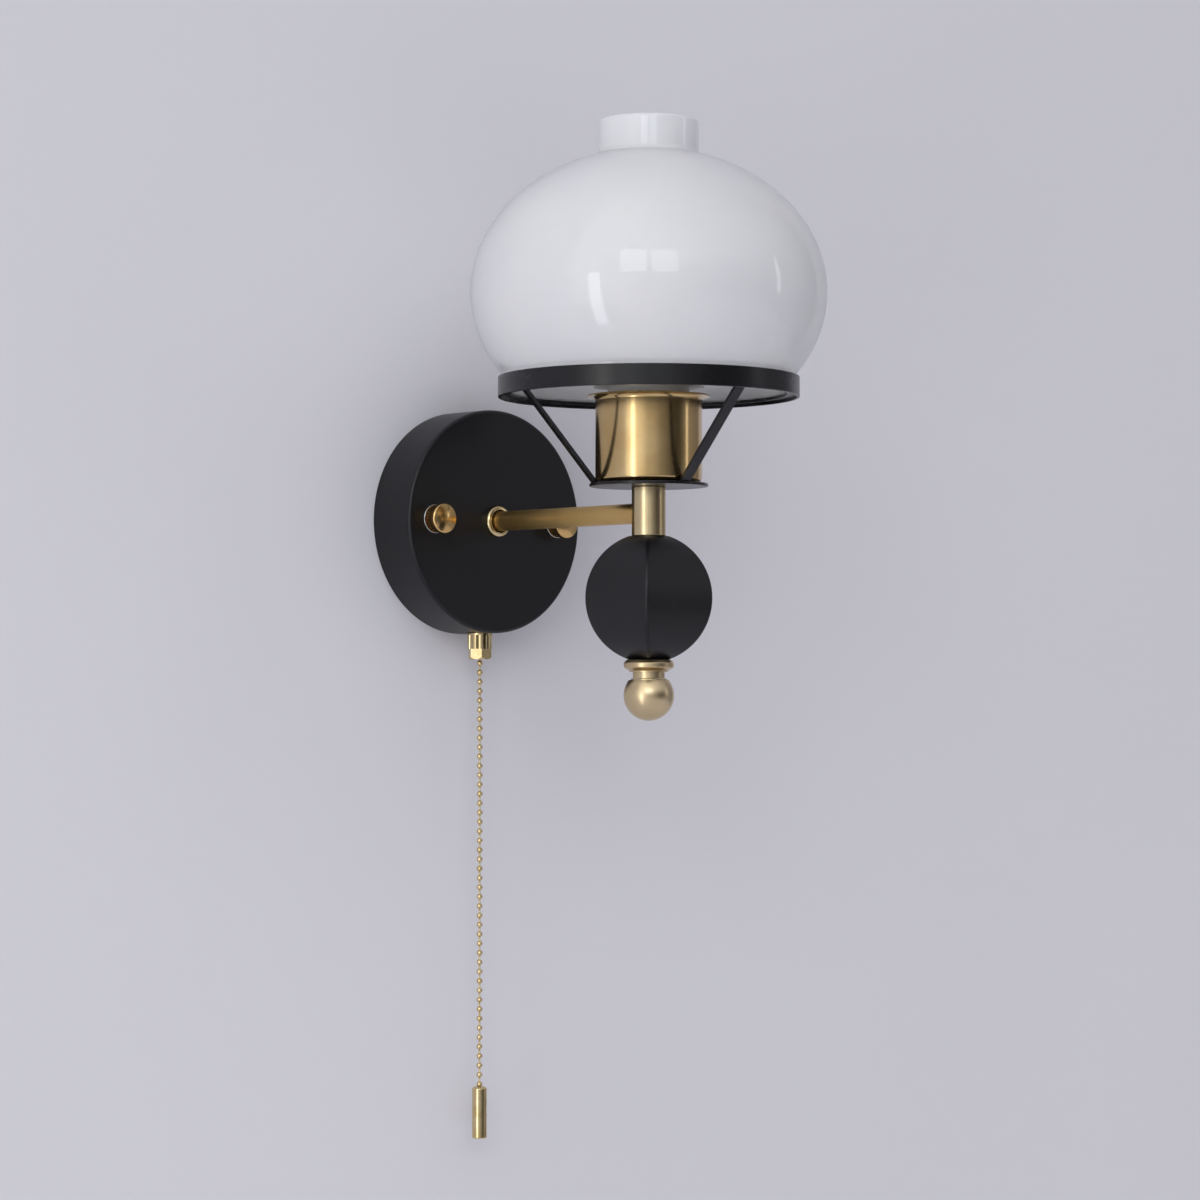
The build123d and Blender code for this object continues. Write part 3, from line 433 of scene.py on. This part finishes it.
finishes = {
    "black_metal": blackPowderCoat(blackCoat),
    "satin_brass": satinSpunBrass(spunBrass),
    "polished_brass": polishedBrass(buffedBrass),
    "chain_brass": polishedBrass(chainBrass),
    "plain_brass": polishedBrass(turnedBrass),
    "zinc_steel": platedSteel(zincBath),
    "nickel_washer": platedSteel(nickelBath),
    "opal_glass": blownOpalGlass(),
    "white_plastic": mouldedPlastic(whitePolyester),
    "bulb_plastic": mouldedPlastic(milkyPolycarbonate),
    "black_plastic": mouldedPlastic(blackPhenolic),
    "brown_wire": mouldedPlastic(brownPvc),
    "blue_wire": mouldedPlastic(bluePvc),
    "green_wire": mouldedPlastic(greenPvc),
}

# pieces finished otherwise than their slot: a paler or duller brass, a glossier black
batches = {"stem": satinSpunBrass(paleBrass), "arm_tube": satinSpunBrass(armBrass)}
batches["finial_collar"] = batches["finial_ball"] = satinSpunBrass(finialBrass)
batches["cap_nut_left"] = batches["cap_nut_right"] = satinSpunBrass(buttonBrass)
galleryBlack = blackPowderCoat(galleryCoat)
for part in ("plate", "ring", "bar_left", "bar_right", "bar_back"):
    batches["gallery_" + part] = galleryBlack


def dressNodes():
    slots = {part["node"]: part["material_slot"] for part in frame["record"]["subparts"]}
    for name, item in frame["nodes"].items():
        for holder in item.material_slots:
            holder.material = batches.get(name) or finishes[slots[name]]
    beadChain.data.materials.append(finishes["chain_brass"])


dressNodes()
print("finishes on:", len(finishes))


# wall and floor

room = {   # metres, apart from the colours and the stipple
    "wall": "#e3e2e6",
    "wallShade": "#dfdee3",
    "seenWall": "#c2c1ca",   # the same wall where the camera looks past its edge
    "cloud": 0.625,
    "stipple": 1.1,   # millimetres
    "behindCanopy": 0.0570,   # the wall stops inside the canopy's rim
    "wallGap": 0.0004,
    "halfWidth": 3.2,
    "low": -1.15,
    "high": 2.2,
    "front": -4.5,   # where the floor ends
    "spokes": 96,
    "circles": 12,
}


def paintedWall():
    # matt emulsion on plaster: pale lavender grey, a roller's fine stipple. The floor has it too.
    # Seen from behind it is clear, so that the back of the light can be looked at
    material, tree = newMaterial("paintedWall")
    place = addNode(tree, "ShaderNodeTexCoord").outputs["Object"]
    cloud = addNode(tree, "ShaderNodeTexNoise",
                    {"Vector": place, "Scale": 1 / room["cloud"], "Detail": 2.0})
    shade = addNode(tree, "ShaderNodeValToRGB", {"Fac": cloud.outputs["Fac"]},
                    stops=[(0.3, room["wallShade"]), (0.7, room["wall"])])
    stipple = addNode(tree, "ShaderNodeTexNoise",
                      {"Vector": place, "Scale": 1000 / room["stipple"], "Detail": 2.0})
    bump = addNode(tree, "ShaderNodeBump",
                   {"Height": stipple.outputs["Fac"], "Strength": 0.1, "Distance": 0.0001})
    paint = addNode(tree, "ShaderNodeBsdfPrincipled",
                    {"Base Color": shade.outputs["Color"], "Roughness": 0.85,
                     "Specular IOR Level": 0.3, "Normal": bump.outputs["Normal"]})
    clear = addNode(tree, "ShaderNodeBsdfTransparent")
    side = addNode(tree, "ShaderNodeNewGeometry").outputs["Backfacing"]
    mix = addNode(tree, "ShaderNodeMixShader",
                  {"Fac": side, 1: paint.outputs["BSDF"], 2: clear.outputs["BSDF"]})
    addNode(tree, "ShaderNodeOutputMaterial", {"Surface": mix.outputs["Shader"]})
    return material


def makeRoom():
    # the wall runs from a circle behind the canopy out to a rectangle: point(s, u) goes straight
    # from c(u) = R (cos u, sin u) to the rectangle's edge in the same direction, and s grows as
    # a square, so that the circles lie close together near the canopy
    u = np.linspace(0, 2 * math.pi, room["spokes"], endpoint=False)
    across, up = np.cos(u), np.sin(u)
    ends, low, high = room["halfWidth"], room["low"], room["high"]
    limitUp = np.where(up > 0, high, -low)
    flatter = 1e-9   # stands in for a zero below the line
    scale = np.minimum(ends / np.maximum(np.abs(across), flatter),
                       limitUp / np.maximum(np.abs(up), flatter))
    edge = np.stack([across * scale, up * scale], -1)
    for corner in [(ends, high), (-ends, high), (-ends, low), (ends, low)]:
        nearest = np.argmin(np.linalg.norm(edge - corner, axis=1))
        edge[nearest] = corner
    s = np.linspace(0, 1, room["circles"]) ** 2
    inner = room["behindCanopy"] * np.stack([across, up], -1)
    flat = inner[None] + s[:, None, None] * (edge - inner)[None]
    depth = np.full(flat.shape[:2], room["wallGap"])
    points = np.stack([flat[..., 0], depth, flat[..., 1]], -1).reshape(-1, 3)
    wall = meshFrom("backWall", points, gridFaces(len(s), len(u))[:, ::-1], smooth=False)
    floorPoints = [(-ends, room["front"], low), (ends, room["front"], low),
                   (ends, room["wallGap"], low), (-ends, room["wallGap"], low)]
    floor = meshFrom("floor", floorPoints, np.array([[0, 1, 2, 3]]), smooth=False)
    paint = paintedWall()
    wall.data.materials.append(paint)
    floor.data.materials.append(paint)


makeRoom()
print("room built")


# light

lampMiddle = (0.0, -0.150, 0.10)   # metres: the softboxes face this point

# each softbox: bearing and height in degrees from the lamp, distance, width and height in metres,
# brightness as the radiance of its face against white, and its colour
softboxes = {
    "leftWindow": {"bearing": -167.0, "rise": -18.0, "away": 1.9, "wide": 0.26, "tall": 1.75,
                   "bright": 2.9, "colour": "#fdfdff"},
    "roomWindowLeft": {"bearing": -143.0, "rise": 18.0, "away": 3.6, "wide": 1.00, "tall": 1.25,
                       "bright": 2.2, "colour": "#eef4ff"},
    "roomWindowRight": {"bearing": -123.0, "rise": 18.0, "away": 3.6, "wide": 1.00, "tall": 1.25,
                        "bright": 1.9, "colour": "#eef4ff"},
    "rightStrip": {"bearing": -43.0, "rise": 9.0, "away": 3.0, "wide": 0.20, "tall": 1.2,
                   "bright": 1.9, "colour": "#ffffff"},
}


def makeSoftbox(name, box):
    # a rectangle facing the lamp; a face of radiance L and area A sends out pi * A * L watts
    bearing, rise = math.radians(box["bearing"]), math.radians(box["rise"])
    way = Vector((math.cos(bearing) * math.cos(rise), math.sin(bearing) * math.cos(rise),
                  math.sin(rise)))
    data = bpy.data.lights.new(name, "AREA")
    data.shape = "RECTANGLE"
    data.size = box["wide"]
    data.size_y = box["tall"]
    data.energy = math.pi * box["wide"] * box["tall"] * box["bright"]
    data.color = toLinear(box["colour"])[:3]
    item = bpy.data.objects.new(name, data)
    bpy.context.scene.collection.objects.link(item)
    item.location = Vector(lampMiddle) + way * box["away"]
    item.rotation_euler = way.to_track_quat("Z", "Y").to_euler()


surroundings = {
    "brightSide": (-0.96, -0.15, 0.05),
    # from the dark side to the bright one: the room's colour, and how bright its hall is
    "glow": [(0.0, "#605e64"), (0.5, "#babac0"), (1.0, "#ffffff")],
    "hall": [(0.0, 0.85), (0.10, 0.80), (0.22, 0.48), (0.34, 0.10), (0.45, 0.06), (0.62, 0.18),
             (0.79, 0.26), (0.91, 0.35), (0.96, 0.62), (1.0, 0.80)],
    "hallEnds": (0.12, 0.42),   # sine of the angle up or down at which the hall begins to fade
    "evenLevel": 0.79,   # brightness of ceiling and floor on the hall's scale
    "strength": 2.0,
}


def makeWorld():
    # a soft room, brighter towards the left. Ceiling and floor give an even light; near eye height
    # the hall falls off from the left into a dark doorway right of the camera, and rises beyond it
    world = bpy.data.worlds.new("room")
    bpy.context.scene.world = world
    world.use_nodes = True
    tree = world.node_tree
    tree.nodes.clear()
    toward = addNode(tree, "ShaderNodeTexCoord").outputs["Generated"]
    lean = addNode(tree, "ShaderNodeVectorMath", {0: toward, 1: surroundings["brightSide"]},
                   operation="DOT_PRODUCT")
    grade = addNode(tree, "ShaderNodeMapRange",
                    {"Value": lean.outputs["Value"], "From Min": -1.0, "From Max": 1.0})
    glow = addNode(tree, "ShaderNodeValToRGB", {"Fac": grade.outputs["Result"]},
                   stops=surroundings["glow"])
    hall = addNode(tree, "ShaderNodeValToRGB", {"Fac": grade.outputs["Result"]},
                   stops=surroundings["hall"])
    height = addNode(tree, "ShaderNodeSeparateXYZ", {"Vector": toward}).outputs["Z"]
    steep = addNode(tree, "ShaderNodeMath", {0: height}, operation="ABSOLUTE")
    fadeStart, fadeEnd = surroundings["hallEnds"]
    away = addNode(tree, "ShaderNodeMapRange",
                   {"Value": steep.outputs["Value"], "From Min": fadeStart, "From Max": fadeEnd},
                   interpolation_type="SMOOTHSTEP")
    level = addNode(tree, "ShaderNodeMix", {"Factor": away.outputs["Result"],
                                            "A": hall.outputs["Color"],
                                            "B": surroundings["evenLevel"]})
    strength = addNode(tree, "ShaderNodeMath",
                       {0: level.outputs["Result"], 1: surroundings["strength"]},
                       operation="MULTIPLY")
    soft = addNode(tree, "ShaderNodeBackground",
                   {"Color": glow.outputs["Color"], "Strength": strength.outputs["Value"]})
    plain = addNode(tree, "ShaderNodeBackground",
                    {"Color": toLinear(room["seenWall"]), "Strength": 1.0})
    seen = addNode(tree, "ShaderNodeLightPath").outputs["Is Camera Ray"]
    mix = addNode(tree, "ShaderNodeMixShader",
                  {"Fac": seen, 1: soft.outputs["Background"], 2: plain.outputs["Background"]})
    addNode(tree, "ShaderNodeOutputWorld", {"Surface": mix.outputs["Shader"]})


for name, box in softboxes.items():
    makeSoftbox(name, box)
makeWorld()
bpy.context.scene.view_settings.view_transform = "Standard"
print("lights on:", len(softboxes))

print("finished")
